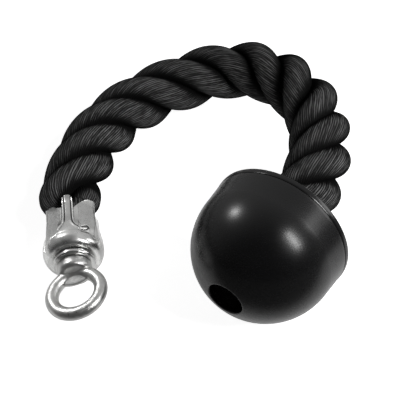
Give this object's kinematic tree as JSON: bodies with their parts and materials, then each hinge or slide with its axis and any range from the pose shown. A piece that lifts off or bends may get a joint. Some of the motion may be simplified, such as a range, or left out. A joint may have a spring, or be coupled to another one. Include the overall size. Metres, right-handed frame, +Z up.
{
  "type": "single-grip press-down rope",
  "caption": "Short thick laid rope bent in a hoop, with a ball stopper to grip at one end and a swivel eye in a squeezed metal ferrule at the other, for a cable machine.",
  "frame": {"origin": "on the floor, under the middle of the box round the ferrule, eye and ball, with the rope left out", "axes": "+Z up; +X from the ferrule to the ball; -Y the side that both ends of the bent rope point to, towards the viewer"},
  "size_m": [0.1557, 0.1963, 0.0694],
  "materials": {
    "plated_steel": "bright zinc plating on pressed steel, slightly soft reflections",
    "cast_steel": "bright plating on a rough casting",
    "screw_steel": "plain zinc-plated steel",
    "rope_yarn": "black synthetic yarn, laid in three strands, with a soft sheen",
    "ball_plastic": "black moulded plastic with a satin skin"
  },
  "bodies": {
    "ferrule": {"ferrule_cup": "plated_steel", "collar_ring": "plated_steel", "thrust_washer": "screw_steel", "rope_ferrule_side": "rope_yarn", "rope_crown": "rope_yarn"},
    "eye": {"swivel_eye": "cast_steel"},
    "ball": {"rope_ball_side": "rope_yarn", "ball_grip": "ball_plastic", "ball_back_cap": "ball_plastic", "screw_washer": "screw_steel", "end_screw": "screw_steel"}
  },
  "joints": [
    {"name": "eye_swivel", "type": "hinge", "parent": "ferrule", "child": "eye", "pos_m": [-0.05045, -0.01682, 0.016], "axis": [0.165, -0.9863, 0], "continuous": true},
    {"name": "rope_flex", "type": "hinge", "parent": "ferrule", "child": "ball", "pos_m": [0.01632, 0.14557, 0.02537], "axis": [0, 0, 1], "range_deg": [-12, 80], "deforming": ["rope_crown"]}
  ]
}
